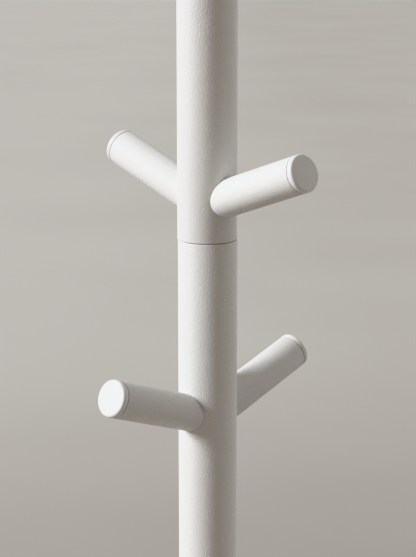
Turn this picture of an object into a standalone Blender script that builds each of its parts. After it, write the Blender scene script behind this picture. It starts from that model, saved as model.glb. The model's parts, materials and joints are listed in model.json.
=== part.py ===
"""Standing coat rack: a screw-together steel post on a round base, with tubular pegs in opposite pairs.

Metres, +Z up. The origin is on the floor, on the post's axis, and the front is towards -Y.
The post comes apart at its seams: each section ends in a pressed-in plug, and a stud in the lower plug
screws into the upper one. Every peg is a short tube cut to the curve of the post. A socket screw inside it
reaches through the post's wall into an anchor block, and a press-in plastic cap closes its open end.
"""

import math

import bmesh
import bpy

# Clearances
GAP = 0.0003                          # between two pieces that touch
SEAM_GAP = 0.0004                     # between two sections of the post, where one turns on the other
THREAD_GAP = 0.0004                   # between a screw's shank and the hole that it goes in

# Base
BASE_RADIUS = 0.190
BASE_THICKNESS = 0.008
BASE_EDGE = 0.0015                    # chamfer round the base plate
PAD_COUNT = 6
PAD_RADIUS = 0.011
PAD_HEIGHT = 0.0027
PAD_EDGE = 0.0004
PAD_RING = 0.165                      # radius of the ring that the floor pads sit on
PLATE_UNDERSIDE = PAD_HEIGHT + GAP
PLATE_TOP = PLATE_UNDERSIDE + BASE_THICKNESS

# Post
POST_RADIUS = 0.020
POST_WALL = 0.0015
POST_EDGE = 0.0005                    # chamfer on the ends of every section
POST_BORE = POST_RADIUS - POST_WALL
SECTION_COUNT = 4
SECTION_PITCH = 0.425
SECTION_LENGTH = SECTION_PITCH - SEAM_GAP
POST_FOOT = PLATE_TOP + GAP

# Plugs and studs inside the post
PLUG_RADIUS = POST_BORE - 0.0004
PLUG_LENGTH = 0.016
PLUG_EDGE = 0.0008
STUD_RADIUS = 0.006
STUD_HOLE = STUD_RADIUS + THREAD_GAP
STUD_LENGTH = 0.030
STUD_POINT = 0.001
COUNTERSINK_RADIUS = STUD_RADIUS + 0.0065
BASE_HEAD_RADIUS = STUD_RADIUS + 0.0058
BASE_SCREW_LENGTH = 0.028

# Pegs, measured along a peg's own axis from the post's axis
PEG_RADIUS = 0.0125
PEG_WALL = 0.0015
PEG_BORE = PEG_RADIUS - PEG_WALL
PEG_TILT = math.radians(19.6)         # upwards from level
PEG_LENGTH = 0.0939                   # to the outer face of the end cap
PEG_START = 0.010                     # where the tube begins before it is cut to the post
PEG_EDGE = 0.0004
ROOT_PLATE = (0.026, 0.029)           # the plate inside the tube that the screw's head pulls on

# Peg screws
SCREW_RADIUS = 0.004
SCREW_HOLE = SCREW_RADIUS + THREAD_GAP
SCREW_TIP = 0.006
SCREW_POINT = 0.0006
HEAD_RADIUS = 0.0065
HEAD_HEIGHT = 0.008
HEAD_EDGE = 0.0005
KEY_WIDTH = 0.006                     # across the flats of the hexagon socket
KEY_DEPTH = 0.004

# End caps
CAP_FLANGE = 0.004
CAP_EDGE = 0.0005
CAP_FACE = 0.0030                     # thickness of the cap's closed end
CAP_STEM_WALL = 0.0018
CAP_STEM_LENGTH = 0.011
STEM_CLEARANCE = 0.0005
TUBE_TIP = PEG_LENGTH - CAP_FLANGE - GAP

# Anchor blocks, measured from the point where the two pegs of a pair would cross
ANCHOR_BELOW = 0.006
ANCHOR_ABOVE = 0.016
HOLE_BOTTOM = 0.004                   # how close to the post's axis the screw hole comes

# Where the pegs are. The two upper sections are the same part, drilled for a pair near the foot and a pair
# near the top that stands a quarter turn round. Each section stops at its own angle when it is tight.
PAIR_HEIGHTS = (0.0228, 0.3006)        # above the section's foot, where a pair's axes cross the post's axis
PAIR_TURNS = (0.0, math.radians(-90))
SECTION_TURNS = {3: math.radians(-45.2), 4: math.radians(-46.0)}   # azimuth of the front peg near the foot

# Sides of the round pieces
PLATE_SIDES = 64
POST_SIDES = 40
PEG_SIDES = 24
FASTENER_SIDES = 16
MERGE_DISTANCE = 0.00001
MARKER_SIZE = 0.03                    # how big an empty is drawn
SHARP_ANGLE = math.radians(30)


def clear_scene():
    """Remove whatever the file holds."""
    for old in list(bpy.data.objects):
        bpy.data.objects.remove(old)


def new_collection(name):
    """A collection of that name in the scene."""
    collection = bpy.data.collections.new(name)
    bpy.context.scene.collection.children.link(collection)
    return collection


clear_scene()
parts = new_collection("standing_coat_rack")
cutters = new_collection("cutters")


def make_material(name, colour, roughness, metallic):
    """A Principled material with a colour (linear), a roughness and a metallic value."""
    material = bpy.data.materials.new(name)
    material.use_nodes = True
    shader = material.node_tree.nodes["Principled BSDF"]
    shader.inputs["Base Color"].default_value = (*colour, 1.0)
    shader.inputs["Roughness"].default_value = roughness
    shader.inputs["Metallic"].default_value = metallic
    return material


POWDER_COAT = make_material("white_powder_coat", (0.80, 0.79, 0.76), 0.55, 0.0)
CAP_PLASTIC = make_material("white_plastic", (0.80, 0.79, 0.77), 0.45, 0.0)
PLAIN_STEEL = make_material("plain_steel", (0.56, 0.56, 0.57), 0.35, 1.0)
PAD_RUBBER = make_material("pad_rubber", (0.08, 0.08, 0.08), 0.85, 0.0)


def turned(name, outline, sides, material, hollow=False):
    """A shape turned about Z from an outline of (radius, height) points that runs down its outer side.

    A solid's outline starts and ends on the axis. A hollow's comes back up its bore to where it began.
    """
    mesh = bpy.data.meshes.new(name)
    points = [(radius, 0.0, height) for radius, height in outline]
    edges = [(i, i + 1) for i in range(len(points) - 1)]
    if hollow:
        edges.append((len(points) - 1, 0))
    mesh.from_pydata(points, edges, [])
    mesh.materials.append(material)
    shape = bpy.data.objects.new(name, mesh)
    parts.objects.link(shape)
    screw = shape.modifiers.new("turn", "SCREW")
    screw.steps = sides
    screw.render_steps = sides
    screw.use_merge_vertices = True
    screw.merge_threshold = MERGE_DISTANCE
    return shape


def cylinder_cutter(name, sides, radius, bottom, top):
    """A cylinder along Z that only cuts other pieces."""
    mesh = bpy.data.meshes.new(name)
    bm = bmesh.new()
    bmesh.ops.create_cone(
        bm, cap_ends=True, segments=sides, radius1=radius, radius2=radius, depth=top - bottom
    )
    bmesh.ops.translate(bm, verts=bm.verts, vec=(0.0, 0.0, (bottom + top) / 2))
    bm.to_mesh(mesh)
    bm.free()
    cutter = bpy.data.objects.new(name, mesh)
    cutters.objects.link(cutter)
    cutter.hide_render = True
    cutter.display_type = "WIRE"
    return cutter


def cut(piece, cutter):
    """Take a cutter's shape out of a piece."""
    boolean = piece.modifiers.new(cutter.name, "BOOLEAN")
    boolean.operation = "DIFFERENCE"
    boolean.object = cutter


def settle(pattern):
    """Turn a pattern into the finished mesh that its copies share, smooth except at its corners."""
    bpy.context.view_layer.update()
    evaluated = pattern.evaluated_get(bpy.context.evaluated_depsgraph_get())
    finished = bpy.data.meshes.new_from_object(evaluated)
    finished.shade_smooth()
    finished.set_sharp_from_angle(angle=SHARP_ANGLE)
    finished.name = pattern.name
    bpy.data.objects.remove(pattern)
    return finished


def place(name, mesh, parent, height=0.0, turn=0.0):
    """A piece with that mesh, at a height above its parent and turned about Z."""
    piece = bpy.data.objects.new(name, mesh)
    parts.objects.link(piece)
    piece.parent = parent
    piece.location = (0.0, 0.0, height)
    piece.rotation_euler = (0.0, 0.0, turn)
    return piece


def marker(name, parent, height, rotation=(0.0, 0.0, 0.0)):
    """An empty on its parent's axis that other pieces hang from."""
    empty = bpy.data.objects.new(name, None)
    empty.empty_display_size = MARKER_SIZE
    parts.objects.link(empty)
    empty.parent = parent
    empty.location = (0.0, 0.0, height)
    empty.rotation_euler = rotation
    return empty


# Outlines

def bushing_outline(radius, bore, length, edge):
    """A plain ring with both outer corners chamfered, standing on its foot."""
    return [
        (bore, length),
        (radius - edge, length),
        (radius, length - edge),
        (radius, edge),
        (radius - edge, 0.0),
        (bore, 0.0),
    ]


def rod_outline(radius, length, edge):
    """A plain rod with both corners chamfered, standing on its foot."""
    return [
        (0.0, length),
        (radius - edge, length),
        (radius, length - edge),
        (radius, edge),
        (radius - edge, 0.0),
        (0.0, 0.0),
    ]


def section_outline():
    """A length of post tube, standing on its foot."""
    return bushing_outline(POST_RADIUS, POST_BORE, SECTION_LENGTH, POST_EDGE)


def cap_outline(radius, stem_radius):
    """A press-in cap that sits on the end of a tube, with its outer face at the height CAP_FLANGE."""
    stem_bore = stem_radius - CAP_STEM_WALL
    return [
        (0.0, CAP_FLANGE),
        (radius - CAP_EDGE, CAP_FLANGE),
        (radius, CAP_FLANGE - CAP_EDGE),
        (radius, 0.0),
        (stem_radius, 0.0),
        (stem_radius, -CAP_STEM_LENGTH),
        (stem_bore, -CAP_STEM_LENGTH),
        (stem_bore, CAP_FLANGE - CAP_FACE),
        (0.0, CAP_FLANGE - CAP_FACE),
    ]


def base_plate_outline():
    """A round plate with chamfered rims and a countersunk hole for the screw that holds the post."""
    return [
        (STUD_HOLE, BASE_THICKNESS),
        (BASE_RADIUS - BASE_EDGE, BASE_THICKNESS),
        (BASE_RADIUS, BASE_THICKNESS - BASE_EDGE),
        (BASE_RADIUS, BASE_EDGE / 2),
        (BASE_RADIUS - BASE_EDGE / 2, 0.0),
        (COUNTERSINK_RADIUS, 0.0),
        (STUD_HOLE, COUNTERSINK_RADIUS - STUD_HOLE),
    ]


def base_screw_outline():
    """A countersunk screw, head down, from its head's flat face at 0 to its point in the foot plug."""
    return [
        (0.0, BASE_SCREW_LENGTH),
        (STUD_RADIUS - STUD_POINT, BASE_SCREW_LENGTH),
        (STUD_RADIUS, BASE_SCREW_LENGTH - STUD_POINT),
        (STUD_RADIUS, BASE_HEAD_RADIUS - STUD_RADIUS),
        (BASE_HEAD_RADIUS, 0.0),
        (0.0, 0.0),
    ]


def peg_outline():
    """A peg's tube with the plate near its root that its screw goes through."""
    plate_bottom, plate_top = ROOT_PLATE
    return [
        (PEG_BORE, TUBE_TIP),
        (PEG_RADIUS - PEG_EDGE, TUBE_TIP),
        (PEG_RADIUS, TUBE_TIP - PEG_EDGE),
        (PEG_RADIUS, PEG_START),
        (PEG_BORE, PEG_START),
        (PEG_BORE, plate_bottom),
        (SCREW_HOLE, plate_bottom),
        (SCREW_HOLE, plate_top),
        (PEG_BORE, plate_top),
    ]


def peg_screw_outline():
    """A socket-head screw along the peg's axis, its head on the root plate."""
    seat = ROOT_PLATE[1] + GAP
    return [
        (0.0, seat + HEAD_HEIGHT),
        (HEAD_RADIUS - HEAD_EDGE, seat + HEAD_HEIGHT),
        (HEAD_RADIUS, seat + HEAD_HEIGHT - HEAD_EDGE),
        (HEAD_RADIUS, seat),
        (SCREW_RADIUS, seat),
        (SCREW_RADIUS, SCREW_TIP + SCREW_POINT),
        (SCREW_RADIUS - SCREW_POINT, SCREW_TIP),
        (0.0, SCREW_TIP),
    ]


# Patterns that several pieces share

def peg_axis(azimuth):
    """The rotation that turns Z onto the axis of a peg at that azimuth."""
    return (0.0, math.pi / 2 - PEG_TILT, azimuth)


def peg_mesh():
    """A peg's tube with its root cut to the curve of the post."""
    pattern = turned("peg", peg_outline(), PEG_SIDES, POWDER_COAT, hollow=True)
    pattern.rotation_euler = peg_axis(0.0)
    reach = 2 * POST_RADIUS
    clear_radius = (POST_RADIUS + GAP) / math.cos(math.pi / POST_SIDES)
    cope = cylinder_cutter("post_clearance", POST_SIDES, clear_radius, -reach, reach)
    cut(pattern, cope)
    return settle(pattern)


def key_socket(name, mouth):
    """The hexagon that a key fits, sunk below a mouth at that height."""
    corner = KEY_WIDTH / 2 / math.cos(math.radians(30))
    return cylinder_cutter(name, 6, corner, mouth - KEY_DEPTH, mouth + KEY_DEPTH)


def peg_screw_mesh():
    """A peg screw with its key socket."""
    pattern = turned("peg_screw", peg_screw_outline(), FASTENER_SIDES, PLAIN_STEEL)
    cut(pattern, key_socket("peg_key", ROOT_PLATE[1] + GAP + HEAD_HEIGHT))
    return settle(pattern)


def base_screw_mesh():
    """The base screw, whose key socket opens downwards."""
    pattern = turned("base_screw", base_screw_outline(), PEG_SIDES, PLAIN_STEEL)
    cut(pattern, key_socket("base_key", 0.0))
    return settle(pattern)


def plug_mesh():
    """A plug for the end of a section, with the hole that a stud screws into."""
    outline = bushing_outline(PLUG_RADIUS, STUD_HOLE, PLUG_LENGTH, PLUG_EDGE)
    return settle(turned("plug", outline, PEG_SIDES, PLAIN_STEEL, hollow=True))


def hole_cutters(name, parent):
    """The two screw holes of a pair, on the axes of its front and back pegs."""
    holes = []
    for side, turn in (("front", 0.0), ("back", math.pi)):
        hole = cylinder_cutter(f"{name}_{side}", FASTENER_SIDES, SCREW_HOLE, HOLE_BOTTOM, 2 * POST_RADIUS)
        hole.parent = parent
        hole.rotation_euler = peg_axis(turn)
        holes.append(hole)
    return holes


def anchor_mesh():
    """A round block with the two inclined screw holes of one pair, whose front hole points to +X."""
    height = ANCHOR_BELOW + ANCHOR_ABOVE
    outline = rod_outline(PLUG_RADIUS, height, PLUG_EDGE)
    lowered = [(radius, z - ANCHOR_BELOW) for radius, z in outline]
    pattern = turned("anchor", lowered, PEG_SIDES, PLAIN_STEEL)
    for hole in hole_cutters("anchor_hole", None):
        cut(pattern, hole)
    return settle(pattern)


PEG_MESH = peg_mesh()
PEG_SCREW_MESH = peg_screw_mesh()
PLUG_MESH = plug_mesh()
ANCHOR_MESH = anchor_mesh()
PEG_CAP_MESH = settle(turned(
    "peg_cap", cap_outline(PEG_RADIUS, PEG_BORE - STEM_CLEARANCE), PEG_SIDES, CAP_PLASTIC
))
STUD_MESH = settle(turned(
    "stud", rod_outline(STUD_RADIUS, STUD_LENGTH, STUD_POINT), FASTENER_SIDES, PLAIN_STEEL
))
PAD_MESH = settle(turned(
    "floor_pad", rod_outline(PAD_RADIUS, PAD_HEIGHT, PAD_EDGE), FASTENER_SIDES, PAD_RUBBER
))


# Base

def build_base():
    """The plate, the pads under it and the screw that comes up through it into the post."""
    plate = settle(turned("base_plate", base_plate_outline(), PLATE_SIDES, POWDER_COAT, hollow=True))
    place("base_plate", plate, None, PLATE_UNDERSIDE)
    place("base_screw", base_screw_mesh(), None, PLATE_UNDERSIDE + GAP)
    for number in range(PAD_COUNT):
        angle = math.tau * number / PAD_COUNT
        pad = place(f"floor_pad_{number + 1}", PAD_MESH, None)
        pad.location = (PAD_RING * math.cos(angle), PAD_RING * math.sin(angle), 0.0)


# Post

def section_markers():
    """One empty on the axis at the foot of each section, each hanging from the one below."""
    markers = []
    for number in range(1, SECTION_COUNT + 1):
        parent = markers[-1] if markers else None
        height = SECTION_PITCH if markers else POST_FOOT
        markers.append(marker(f"section_{number}_foot", parent, height))
    return markers


def drilled_section_mesh():
    """A length of post tube with its two pairs' screw holes, the first pair's front hole towards +X."""
    tube = turned("drilled_section", section_outline(), POST_SIDES, POWDER_COAT, hollow=True)
    for number, (height, turn) in enumerate(zip(PAIR_HEIGHTS, PAIR_TURNS), start=1):
        guide = marker(f"drill_{number}", None, height, (0.0, 0.0, turn))
        for hole in hole_cutters(f"pair_hole_{number}", guide):
            cut(tube, hole)
    return settle(tube)


def build_section(number, foot, tube):
    """One length of the post, with the plugs and the stud in its ends."""
    place(f"post_section_{number}", tube, foot, turn=SECTION_TURNS.get(number, 0.0))
    place(f"section_{number}_foot_plug", PLUG_MESH, foot, GAP)
    if number < SECTION_COUNT:
        place(f"section_{number}_top_plug", PLUG_MESH, foot, SECTION_LENGTH - GAP - PLUG_LENGTH)
        place(f"section_{number}_stud", STUD_MESH, foot, SECTION_PITCH - STUD_LENGTH / 2)


def build_top_cap(foot):
    """The plastic cap that closes the top of the post."""
    outline = cap_outline(POST_RADIUS, PLUG_RADIUS)
    cap = settle(turned("top_cap", outline, POST_SIDES, CAP_PLASTIC))
    place("top_cap", cap, foot, SECTION_LENGTH + GAP)


# Pegs

def build_pair(level, foot, height, azimuth):
    """An anchor block and the two opposite pegs that are screwed to it."""
    place(f"anchor_{level}", ANCHOR_MESH, foot, height, azimuth)
    for side, turn in (("front", 0.0), ("back", math.pi)):
        name = f"peg_{level}_{side}"
        axis = marker(f"{name}_axis", foot, height, peg_axis(azimuth + turn))
        place(name, PEG_MESH, axis)
        place(f"{name}_screw", PEG_SCREW_MESH, axis)
        place(f"{name}_cap", PEG_CAP_MESH, axis, PEG_LENGTH - CAP_FLANGE)


def build_pegs(number, foot, first_level):
    """The pairs of pegs on one of the upper sections."""
    for level, (height, turn) in enumerate(zip(PAIR_HEIGHTS, PAIR_TURNS), start=first_level):
        build_pair(level, foot, height, SECTION_TURNS[number] + turn)


build_base()
plain_tube = settle(turned("plain_section", section_outline(), POST_SIDES, POWDER_COAT, hollow=True))
drilled_tube = drilled_section_mesh()
feet = section_markers()
for section_number, section_foot in enumerate(feet, start=1):
    drilled = section_number in SECTION_TURNS
    build_section(section_number, section_foot, drilled_tube if drilled else plain_tube)
build_top_cap(feet[-1])
for peg_section, lowest_level in ((3, 1), (4, 3)):
    build_pegs(peg_section, feet[peg_section - 1], lowest_level)
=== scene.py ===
# %% [markdown]
# # A standing coat rack in white powder-coated steel
#
# This notebook dresses a coat rack whose working parts are already designed: a round base, a post that
# screws together from four lengths of tube, and eight short pegs in opposite pairs. The design comes in as a
# fixed frame of plain, coarse solids. Each visible piece is made again here with its real rounded edges and
# its real finish, and is hung on the same body of the frame, so that it still turns where the frame turns.
#
# Everything is in metres, +Z is up, and the front of the rack is towards -Y.

# %% Load the frame
import json
import math

import bmesh
import bpy
from mathutils import Matrix, Vector


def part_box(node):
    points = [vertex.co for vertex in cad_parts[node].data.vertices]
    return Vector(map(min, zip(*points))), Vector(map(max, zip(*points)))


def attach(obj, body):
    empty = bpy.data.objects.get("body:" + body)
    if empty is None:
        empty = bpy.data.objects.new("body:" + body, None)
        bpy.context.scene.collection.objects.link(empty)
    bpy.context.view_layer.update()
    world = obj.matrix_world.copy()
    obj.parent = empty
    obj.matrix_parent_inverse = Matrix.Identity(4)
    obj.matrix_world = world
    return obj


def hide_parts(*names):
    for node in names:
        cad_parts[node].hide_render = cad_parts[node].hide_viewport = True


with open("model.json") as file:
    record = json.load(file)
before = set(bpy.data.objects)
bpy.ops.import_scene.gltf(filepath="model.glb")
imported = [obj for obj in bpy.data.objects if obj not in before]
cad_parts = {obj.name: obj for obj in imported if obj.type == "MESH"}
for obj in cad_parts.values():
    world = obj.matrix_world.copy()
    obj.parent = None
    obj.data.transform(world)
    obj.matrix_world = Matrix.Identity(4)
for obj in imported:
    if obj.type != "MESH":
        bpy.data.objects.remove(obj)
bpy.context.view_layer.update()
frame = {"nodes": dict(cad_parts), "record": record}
NODES = frame["nodes"]
BODIES = frame["record"]["behaviour"]["bodies"]
BODY_OF = {node: body for body, members in BODIES.items() for node in members}
MM = 0.001

# %% [markdown]
# ## Turned shapes
#
# Nearly everything on this rack is round: tubes, caps, plugs and the base plate. A lathe makes such a shape
# from one outline, and the spin operator does the same. The outline is drawn as a chain of points in the XZ
# plane, outwards from the axis, down the outer side and back in. A full spin would leave a seam of doubled
# points where it closes, and a doubled point at every pole, so they are merged before the normals are set.

# %% A lathe
MERGE = 1e-7


def turn(outline, steps, closed=False):
    """Spin (radius, height) points about Z. A closed outline makes a ring, an open one a solid."""
    bm = bmesh.new()
    points = [bm.verts.new((radius, 0.0, height)) for radius, height in outline]
    chain = list(zip(points, points[1:]))
    if closed:
        chain.append((points[-1], points[0]))
    edges = [bm.edges.new(pair) for pair in chain]
    bmesh.ops.spin(
        bm, geom=points + edges, cent=(0, 0, 0), axis=(0, 0, 1), dvec=(0, 0, 0),
        angle=math.tau, steps=steps, use_merge=True, use_duplicate=False,
    )
    bmesh.ops.remove_doubles(bm, verts=bm.verts, dist=MERGE)
    bmesh.ops.recalc_face_normals(bm, faces=bm.faces)
    return bm


# %% [markdown]
# ## Rounded corners
#
# No corner on a real piece is sharp. Cut tube is deburred before it is coated, the coating then rounds it
# further, and a moulded cap has a radius everywhere. On a turned shape a corner is a ring of edges, so the
# bevel operator can round all of a ring at once. A ring is picked by its radius and its height.

# %% Round one ring of a turned shape
TOUCH = 1e-5


def round_ring(bm, radius, height, width, segments=5):
    """Bevel the ring of edges that lies at one radius and height."""
    def on_ring(point):
        return abs(point.co.xy.length - radius) < TOUCH and abs(point.co.z - height) < TOUCH

    ring = [edge for edge in bm.edges if all(on_ring(point) for point in edge.verts)]
    bmesh.ops.bevel(
        bm, geom=ring, offset=width, offset_type="OFFSET", affect="EDGES", segments=segments,
        profile=0.5, material=-1, clamp_overlap=True,
    )
    return len(ring)


# %% [markdown]
# ## From a working mesh to a finished piece
#
# A finished piece keeps its place in its mesh and its object stays at the origin, as the frame's own nodes do.
# It is shaded smooth, but the flat faces have to stay flat, so edges sharper than 40 degrees are marked sharp.
# The bevels above turn each corner in steps smaller than that, and so they shade as one round.
#
# Two sections never screw together dead true, because the thread has play. The top section sits a third of a
# millimetre to one side, which shows as a tiny step at the seam, and everything on it moves along.

# %% Finish a piece
SMOOTH_UP_TO = math.radians(40)
SEAM_PLAY = Matrix.Translation((-0.35 * MM, 0.0, 0.0))


def finish_piece(name, bm, place, finish, nodes):
    """Make the object, hang it on its nodes' body and hide those nodes."""
    body = BODY_OF[nodes[0]]
    bm.transform(SEAM_PLAY @ place if body == "top_section" else place)
    mesh = bpy.data.meshes.new(name)
    bm.to_mesh(mesh)
    bm.free()
    mesh.shade_smooth()
    mesh.set_sharp_from_angle(angle=SMOOTH_UP_TO)
    mesh.materials.append(finish)
    piece = bpy.data.objects.new(name, mesh)
    bpy.context.scene.collection.objects.link(piece)
    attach(piece, body)
    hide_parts(*nodes)
    return piece


# %% [markdown]
# ## Writing a finish as sums
#
# A material is a graph of nodes, and its arithmetic is easier to read as Python. `Wire` stands for one output
# of a node: adding, subtracting or multiplying wires adds the Math nodes. `Finish` is a material in the
# making, and its `node` method adds any other node with its settings first and then its inputs.
#
# Blender's noise is built on a cubic lattice. On a tube that stands along the lattice the noise looks combed,
# so a Mapping node turns the pattern to a skew angle first.

# %% Wires and finishes
GRAIN_TURN = (0.6, 0.35, 0.9)


class Wire:
    """One output of a node, on which sums can be written."""

    def __init__(self, finish, socket):
        self.finish = finish
        self.socket = socket

    def _math(self, operation, first, second):
        return self.finish.node("ShaderNodeMath", {"operation": operation}, {0: first, 1: second})

    def __add__(self, other):
        return self._math("ADD", self, other)

    def __radd__(self, other):
        return self._math("ADD", other, self)

    def __sub__(self, other):
        return self._math("SUBTRACT", self, other)

    def __rsub__(self, other):
        return self._math("SUBTRACT", other, self)

    def __mul__(self, other):
        return self._math("MULTIPLY", self, other)

    def __rmul__(self, other):
        return self._math("MULTIPLY", other, self)


class Finish:
    """A material with one Principled shader, whose varying values are wired in."""

    def __init__(self, name, constants):
        self.material = bpy.data.materials.new(name)
        self.material.use_nodes = True
        self.tree = self.material.node_tree
        self.shader = self.tree.nodes["Principled BSDF"]
        for socket, value in constants.items():
            self.shader.inputs[socket].default_value = value

    def node(self, kind, settings, inputs, output=0):
        """Add a node and return one of its outputs as a wire."""
        made = self.tree.nodes.new(kind)
        for name, value in settings.items():
            setattr(made, name, value)
        for socket, value in inputs.items():
            if isinstance(value, Wire):
                self.tree.links.new(value.socket, made.inputs[socket])
            else:
                made.inputs[socket].default_value = value
        return Wire(self, made.outputs[output])

    def place(self):
        """Where a point is on the piece, in metres."""
        return self.node("ShaderNodeTexCoord", {}, {}, "Object")

    def grain(self, size, detail=2.0, roughness=0.5):
        """Soft noise from 0 to 1 whose lumps are about that size across."""
        skewed = self.node("ShaderNodeMapping", {}, {"Vector": self.place(), "Rotation": GRAIN_TURN})
        inputs = {"Vector": skewed, "Scale": 1 / size, "Detail": detail, "Roughness": roughness}
        return self.node("ShaderNodeTexNoise", {}, inputs)

    def relief(self, height, depth):
        """A normal from a height that runs from 0 to 1 over a depth in metres."""
        return self.node("ShaderNodeBump", {}, {"Height": height, "Strength": 1.0, "Distance": depth})

    def tint(self, amount, low, high):
        """A colour between two others."""
        settings = {"data_type": "RGBA", "blend_type": "MIX"}
        return self.node("ShaderNodeMix", settings, {0: amount, 6: (*low, 1.0), 7: (*high, 1.0)}, 2)

    def feed(self, socket, wire):
        """Wire a varying value into the shader."""
        self.tree.links.new(wire.socket, self.shader.inputs[socket])


# %% [markdown]
# ## White powder coat
#
# The steel is coated with a fine-textured white powder. Seen close, such a coat isn't flat: the powder melts
# into soft lumps under a millimetre across and about a tenth of a millimetre high, with a finer grain on
# top. It shows where light grazes the tube. Two sizes of noise are added up into one height, and the same
# noise lifts and lowers the roughness a little, because the tops of the lumps flow smoother.

# %% Powder coat
COAT_RELIEF = 0.4 * MM


def powder_coat():
    """Fine-textured matt white powder coat."""
    coat = Finish("white_powder_coat", {"IOR": 1.45})
    lumps = coat.grain(0.72 * MM, detail=1.0)
    speck = coat.grain(0.35 * MM, detail=1.0)
    drift = coat.grain(60 * MM, detail=2.0)
    coat.feed("Normal", coat.relief(0.8 * lumps + 0.2 * speck, COAT_RELIEF))
    coat.feed("Roughness", 0.46 + 0.12 * lumps + 0.04 * drift)
    coat.feed("Base Color", coat.tint(0.6 * drift + 0.4 * speck, (0.79, 0.785, 0.77), (0.83, 0.825, 0.81)))
    return coat.material


POWDER = powder_coat()
print("finish:", POWDER.name)

# %% [markdown]
# ## Moulded caps
#
# The caps are injection moulded in a matt white plastic. The mould's faces are spark eroded, which leaves a
# very fine even grain, and the plastic is a little cooler and smoother than the coat on the steel. So the same
# recipe is used with one fine noise and a shallow relief.

# %% Cap plastic
def cap_plastic():
    """Matt white moulded plastic."""
    plastic = Finish("white_cap_plastic", {"IOR": 1.49})
    grain = plastic.grain(0.25 * MM, detail=1.0)
    drift = plastic.grain(9 * MM, detail=2.0)
    plastic.feed("Normal", plastic.relief(grain, 0.006 * MM))
    plastic.feed("Roughness", 0.40 + 0.08 * grain + 0.05 * drift)
    plastic.feed("Base Color", plastic.tint(drift, (0.80, 0.80, 0.79), (0.84, 0.84, 0.835)))
    return plastic.material


PLASTIC = cap_plastic()
print("finish:", PLASTIC.name)

# %% [markdown]
# ## Zinc-plated steel and rubber
#
# The fasteners inside the post are zinc plated: a blue-grey metal with a cloudy sheen. The floor pads are
# black rubber, dull and slightly dusty in their pores.

# %% Fastener steel and pad rubber
def zinc_steel():
    """Zinc-plated steel with a cloudy sheen."""
    zinc = Finish("zinc_plated_steel", {"Metallic": 1.0})
    cloud = zinc.grain(4 * MM, detail=3.0)
    fine = zinc.grain(0.3 * MM, detail=1.0)
    zinc.feed("Normal", zinc.relief(fine, 0.004 * MM))
    zinc.feed("Roughness", 0.26 + 0.16 * cloud)
    zinc.feed("Base Color", zinc.tint(cloud, (0.50, 0.52, 0.55), (0.66, 0.66, 0.64)))
    return zinc.material


def pad_rubber():
    """Dull black rubber."""
    rubber = Finish("pad_rubber", {"IOR": 1.5})
    pores = rubber.grain(0.6 * MM, detail=3.0)
    rubber.feed("Normal", rubber.relief(pores, 0.05 * MM))
    rubber.feed("Roughness", 0.72 + 0.2 * pores)
    rubber.feed("Base Color", rubber.tint(pores, (0.018, 0.018, 0.018), (0.045, 0.043, 0.040)))
    return rubber.material


ZINC = zinc_steel()
RUBBER = pad_rubber()
print("finishes:", ZINC.name, RUBBER.name)

# %% [markdown]
# ## The post
#
# The post is four lengths of 40 mm steel tube with a wall of 1.5 mm. What shows where two of them meet is a
# fine dark line between two rounded ends, so each end gets its radius on the outside. The wall is real: the
# tube is turned from a closed outline, down the outside and back up the bore.

# %% Post sections
POST_STEPS = 160
POST_WALL = 1.5 * MM
END_RADIUS = 0.45 * MM


def tube_outline(radius, wall, low, high):
    """A plain tube: down the outside and back up the bore."""
    bore = radius - wall
    return [(bore, high), (radius, high), (radius, low), (bore, low)]


def make_post_section(node):
    """One length of the post, in the frame's place."""
    low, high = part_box(node)
    radius = (high.x - low.x) / 2
    bm = turn(tube_outline(radius, POST_WALL, low.z, high.z), POST_STEPS, closed=True)
    for end in (low.z, high.z):
        round_ring(bm, radius, end, END_RADIUS)
    return finish_piece(node.replace("section", "tube"), bm, Matrix(), POWDER, [node])


for node in sorted(name for name in NODES if name.startswith("post_section")):
    piece = make_post_section(node)
    print(piece.name, len(piece.data.polygons), "faces")

# %% [markdown]
# ## Where each peg points
#
# A peg's axis runs from the post's axis, outwards and up. The frame says where: a cap and a screw are turned
# about that axis, so the middle of their corners lies on it. Two such middles give its direction, and
# following it back to the post's axis gives its start.

# %% Read a peg's axis from the frame
def corners(node):
    """The distinct corners of a frame node."""
    found = {tuple(round(value, 7) for value in point.co) for point in NODES[node].data.vertices}
    return [Vector(point) for point in sorted(found)]


def middle(node):
    """The mean of a node's corners."""
    points = corners(node)
    return sum(points, Vector()) / len(points)


def peg_frame(peg):
    """The matrix whose Z is the peg's axis, from the post's axis outwards, and whose X leans down."""
    tip = middle(f"{peg}_cap")
    along = (tip - middle(f"{peg}_screw")).normalized()
    start = tip - along * (tip.xy.length / along.xy.length)
    side = Vector((0, 0, 1)).cross(along).normalized()
    under = side.cross(along)
    turned = Matrix((under, side, along)).transposed().to_4x4()
    return Matrix.Translation(start) @ turned


PEGS = sorted(name for name in NODES if name.startswith("peg_") and name.count("_") == 2)
for peg in PEGS:
    direction = peg_frame(peg).col[2].xyz
    tilt = math.degrees(math.asin(direction.z))
    azimuth = math.degrees(math.atan2(direction.y, direction.x))
    print(f"{peg}: azimuth {azimuth:.1f}, tilt {tilt:.1f} degrees")

# %% [markdown]
# ## The pegs
#
# A peg is a length of 25 mm tube whose root is cut, or coped, to lie on the round of the post. It is turned
# straight first, with its rounded ends. Then each point slides along the peg's axis: a point at the root goes
# to where its line meets the post, a point at the tip stays, and what lies between goes in proportion. A point
# only moves along the tube, so the tube stays truly round. For a line parallel to the peg's axis, the distance
# at which it meets the post follows from the two radii and the tilt. The tube ends a hair short of its cap, so
# that the groove between them shows as a fine dark line.

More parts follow.
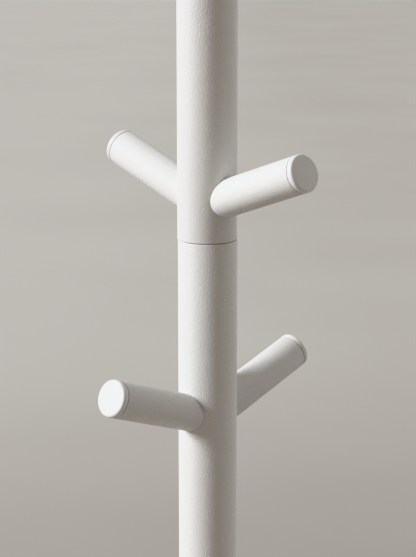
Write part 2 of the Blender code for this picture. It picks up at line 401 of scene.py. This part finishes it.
# %% Pegs
PEG_STEPS = 96
PEG_WALL = 1.5 * MM
TIP_RADIUS = 0.5 * MM
CAP_GROOVE = 0.2 * MM
ROOT_RADIUS = 0.5 * MM
ROOT_GAP = 0.05 * MM
POST_RADIUS = (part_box("post_section_4")[1].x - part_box("post_section_4")[0].x) / 2


def meets_post(x, y, tilt):
    """How far along the peg's axis the line through (x, y) meets the post."""
    return (math.sqrt(POST_RADIUS ** 2 - y ** 2) - x * math.sin(tilt)) / math.cos(tilt)


def make_peg(peg):
    """A coped peg in the frame's place."""
    place = peg_frame(peg)
    back = place.inverted()
    tilt = math.asin(place.col[2].z)
    local = [back @ point for point in corners(peg)]
    tip = max(point.z for point in local) - CAP_GROOVE
    radius = max(point.xy.length for point in local)
    bm = turn(tube_outline(radius, PEG_WALL, 0.0, tip), PEG_STEPS, closed=True)
    round_ring(bm, radius, tip, TIP_RADIUS)
    round_ring(bm, radius, 0.0, ROOT_RADIUS)
    for point in bm.verts:
        root = meets_post(point.co.x, point.co.y, tilt) + ROOT_GAP
        point.co.z = root + point.co.z * (tip - root) / tip
    return finish_piece(f"{peg}_tube", bm, place, POWDER, [peg])


for peg in PEGS:
    piece = make_peg(peg)
    print(piece.name, len(piece.data.polygons), "faces")

# %% [markdown]
# ## The end caps
#
# A cap closes each peg. Its flange is as wide as the tube and 4 mm thick, its outer edge has a soft radius, and
# its stem goes into the tube. The flange's underside has a small chamfer that meets the tube's rounded end in
# a fine groove. The same shape, made wider, closes the top of the post.

# %% Caps
CAP_STEPS = 96
CAP_FLANGE = 4 * MM
CAP_EDGE = 1.9 * MM
CAP_UNDERCUT = 0.4 * MM
CAP_STEM = 10 * MM
STEM_INSET = 2.0 * MM


def cap_shape(radius, steps, face):
    """A solid cap whose outer face is at that height, stem down."""
    seat = face - CAP_FLANGE
    stem = radius - STEM_INSET
    foot = seat - CAP_STEM
    outline = [(0.0, face), (radius, face), (radius, seat), (stem, seat), (stem, foot), (0.0, foot)]
    bm = turn(outline, steps)
    round_ring(bm, radius, face, CAP_EDGE, segments=8)
    round_ring(bm, radius, seat, CAP_UNDERCUT, segments=2)
    return bm


def make_peg_cap(peg):
    """The cap on the end of one peg."""
    node = f"{peg}_cap"
    place = peg_frame(peg)
    back = place.inverted()
    local = [back @ point for point in corners(node)]
    face = max(point.z for point in local)
    radius = max(point.xy.length for point in local)
    bm = cap_shape(radius, CAP_STEPS, face)
    return finish_piece(f"{peg}_end_cap", bm, place, PLASTIC, [node])


def make_top_cap():
    """The cap on the top of the post."""
    low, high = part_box("top_cap")
    bm = cap_shape((high.x - low.x) / 2, POST_STEPS, high.z)
    return finish_piece("post_end_cap", bm, Matrix(), PLASTIC, ["top_cap"])


for piece in [make_peg_cap(peg) for peg in PEGS] + [make_top_cap()]:
    print(piece.name, len(piece.data.polygons), "faces")

# %% [markdown]
# ## The base
#
# The base is a heavy round plate, coated like the post, with a soft radius on its upper rim and a countersunk
# hole underneath for the screw that holds the post. It stands on rubber pads.

# %% Base plate and pads
BASE_STEPS = 256
BASE_RIM = 1.5 * MM
BASE_UNDER_RIM = 0.75 * MM
SCREW_HOLE = 6.4 * MM
SCREW_SINK = 12.5 * MM
PAD_STEPS = 64
PAD_EDGE = 0.6 * MM


def make_base():
    """The base plate with its hole."""
    low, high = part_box("base_plate")
    radius = (high.x - low.x) / 2
    sink_top = low.z + SCREW_SINK - SCREW_HOLE
    rim = [(radius, high.z), (radius, low.z)]
    outline = [(SCREW_HOLE, high.z), *rim, (SCREW_SINK, low.z), (SCREW_HOLE, sink_top)]
    bm = turn(outline, BASE_STEPS, closed=True)
    round_ring(bm, radius, high.z, BASE_RIM, segments=6)
    round_ring(bm, radius, low.z, BASE_UNDER_RIM, segments=4)
    return finish_piece("base_disc", bm, Matrix(), POWDER, ["base_plate"])


def make_pad(node):
    """One floor pad."""
    low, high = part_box(node)
    radius = (high.x - low.x) / 2
    outline = [(0.0, high.z), (radius, high.z), (radius, low.z), (0.0, low.z)]
    bm = turn(outline, PAD_STEPS)
    round_ring(bm, radius, low.z, PAD_EDGE, segments=3)
    place = Matrix.Translation(((low.x + high.x) / 2, (low.y + high.y) / 2, 0.0))
    return finish_piece(node.replace("floor", "foot"), bm, place, RUBBER, [node])


pads = sorted(name for name in NODES if name.startswith("floor_pad"))
for piece in [make_base()] + [make_pad(node) for node in pads]:
    print(piece.name, len(piece.data.polygons), "faces")

# %% [markdown]
# ## The hardware inside
#
# The plugs, studs, blocks and screws keep the frame's own shapes. They are out of sight in the finished rack,
# and only need the look of their metal.

# %% Finish the fasteners
STEEL = [part["node"] for part in frame["record"]["subparts"] if part["material_slot"] == "fastener_steel"]
for node in STEEL:
    metal = NODES[node]
    metal.data.materials.clear()
    metal.data.materials.append(ZINC)
print("steel pieces:", len(STEEL))

# %% [markdown]
# ## Floor
#
# The rack stands on a plain pale floor that is wide enough to fill the view behind it. A wide pool of painted
# shade makes it a little darker round the foot, so that the white base stands out, and a painted pool of light
# from the softbox makes it a little paler on its left. It is also faintly clouded, as a screed is. A pale floor
# would throw its light up at every underside and flatten the round of the pegs. So the floor is hidden from
# diffuse and shadow rays, and lights that come from below take its place there.

# %% Floor
FLOOR_SIZE = 120.0
PAINTED_SHADE_RADIUS = 1.6
PAINTED_LIGHT_REACH = 1.2


def make_floor():
    """A pale floor, with painted shade round the foot and a painted light on its left."""
    bm = bmesh.new()
    bmesh.ops.create_grid(bm, x_segments=1, y_segments=1, size=FLOOR_SIZE / 2)
    mesh = bpy.data.meshes.new("floor")
    bm.to_mesh(mesh)
    bm.free()
    surface = Finish("pale_floor", {"Roughness": 0.9, "Specular IOR Level": 0.0})
    cloud = surface.grain(1.1, detail=5.0)
    # Painted shade: the floor is darker in a wide pool round the foot of the rack.
    away = surface.node("ShaderNodeVectorMath", {"operation": "LENGTH"}, {0: surface.place()}, "Value")
    rim = {"Value": away, "From Min": PAINTED_SHADE_RADIUS, "From Max": 3 * PAINTED_SHADE_RADIUS}
    outside = surface.node("ShaderNodeMapRange", {"interpolation_type": "SMOOTHSTEP"}, rim)
    # Painted light: the floor is paler on its left, towards the softbox, and darker on its right.
    across = surface.node("ShaderNodeSeparateXYZ", {}, {0: surface.place()}, "X")
    sides = {"Value": across, "From Min": -PAINTED_LIGHT_REACH, "From Max": PAINTED_LIGHT_REACH}
    right = surface.node("ShaderNodeMapRange", {"interpolation_type": "SMOOTHSTEP"}, sides)
    # The floor's tone mixes the screed's real clouding with the painted shade and the painted light.
    cloud_and_painted_light = 0.19 + 0.65 * outside + 0.3 * cloud - 0.28 * right
    surface.feed("Base Color", surface.tint(cloud_and_painted_light, (0.385, 0.361, 0.322), (0.615, 0.595, 0.553)))
    mesh.materials.append(surface.material)
    floor = bpy.data.objects.new("floor", mesh)
    bpy.context.scene.collection.objects.link(floor)
    floor.visible_diffuse = False
    floor.visible_shadow = False
    return floor


make_floor()

# %% [markdown]
# ## Light
#
# White on white is drawn by its shadows alone, so one light does the modelling. It is a softbox on the left, a
# little above the pegs and almost level with the rack, and a sun 22 degrees wide has the same soft edge to its
# shadows everywhere. It leaves the middle of the post to a narrow band of half light, where the coat's texture
# shows best. A broad glow from behind on the right lifts the far edge. A faint warm bounce from the floor in
# front opens the undersides of the pegs, and a weak warm light from all round fills the rest. The view
# transform keeps the tones as they are and only rounds off the brightest ones.

# %% Light
def soft_sun(name, azimuth, elevation, strength, spread, colour):
    """A wide sun from a direction: azimuth 0 is in front of the rack and 90 on its right."""
    lamp = bpy.data.lights.new(name, "SUN")
    lamp.energy = strength
    lamp.angle = math.radians(spread)
    lamp.color = colour
    light = bpy.data.objects.new(name, lamp)
    turn_round = math.radians(azimuth)
    rise = math.radians(elevation)
    source = Vector((
        math.sin(turn_round) * math.cos(rise), -math.cos(turn_round) * math.cos(rise), math.sin(rise)
    ))
    light.rotation_euler = source.to_track_quat("Z", "Y").to_euler()
    bpy.context.scene.collection.objects.link(light)
    return light


def studio(fill, backdrop):
    """An even fill from all round, behind a pale backdrop that only the camera sees."""
    world = bpy.data.worlds.new("studio")
    world.use_nodes = True
    tree = world.node_tree
    around = tree.nodes["Background"]
    around.inputs["Color"].default_value = (*fill, 1.0)
    seen = tree.nodes.new("ShaderNodeBackground")
    seen.inputs["Color"].default_value = (*backdrop, 1.0)
    which = tree.nodes.new("ShaderNodeMixShader")
    tree.links.new(tree.nodes.new("ShaderNodeLightPath").outputs["Is Camera Ray"], which.inputs[0])
    tree.links.new(around.outputs[0], which.inputs[1])
    tree.links.new(seen.outputs[0], which.inputs[2])
    tree.links.new(which.outputs[0], tree.nodes["World Output"].inputs["Surface"])
    bpy.context.scene.world = world


soft_sun("key_light", azimuth=-80, elevation=27, strength=4.15, spread=22, colour=(0.911, 0.945, 1.0))
soft_sun("floor_bounce", azimuth=-50, elevation=-35, strength=0.36, spread=50, colour=(1.0, 0.92, 0.82))
soft_sun("side_glow", azimuth=118, elevation=22, strength=1.07, spread=110, colour=(0.95, 0.985, 1.0))
studio(fill=(0.228, 0.202, 0.172), backdrop=(0.53, 0.51, 0.475))
bpy.context.scene.view_settings.view_transform = "Khronos PBR Neutral"

# %% [markdown]
# ## Camera
#
# A long lens from about a metre away, a little above the upper seam, looks down on the two pairs of pegs.

# %% Camera
LENS = 105.6
CAMERA_ASIDE = 0.0002
CAMERA_BACK = 1.076
CAMERA_ABOVE_SEAM = 0.2099
LOOKING_DOWN = 12.44


def make_camera():
    """The camera in front of the rack, a little above the upper seam."""
    lens = bpy.data.cameras.new("camera")
    lens.lens = LENS
    lens.sensor_width = 36.0
    camera = bpy.data.objects.new("camera", lens)
    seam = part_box("post_section_4")[0].z
    camera.location = (CAMERA_ASIDE, -CAMERA_BACK, seam + CAMERA_ABOVE_SEAM)
    camera.rotation_euler = (math.radians(90 - LOOKING_DOWN), 0.0, 0.0)
    bpy.context.scene.collection.objects.link(camera)
    bpy.context.scene.camera = camera
    return camera


print("camera at", tuple(round(value, 3) for value in make_camera().location))
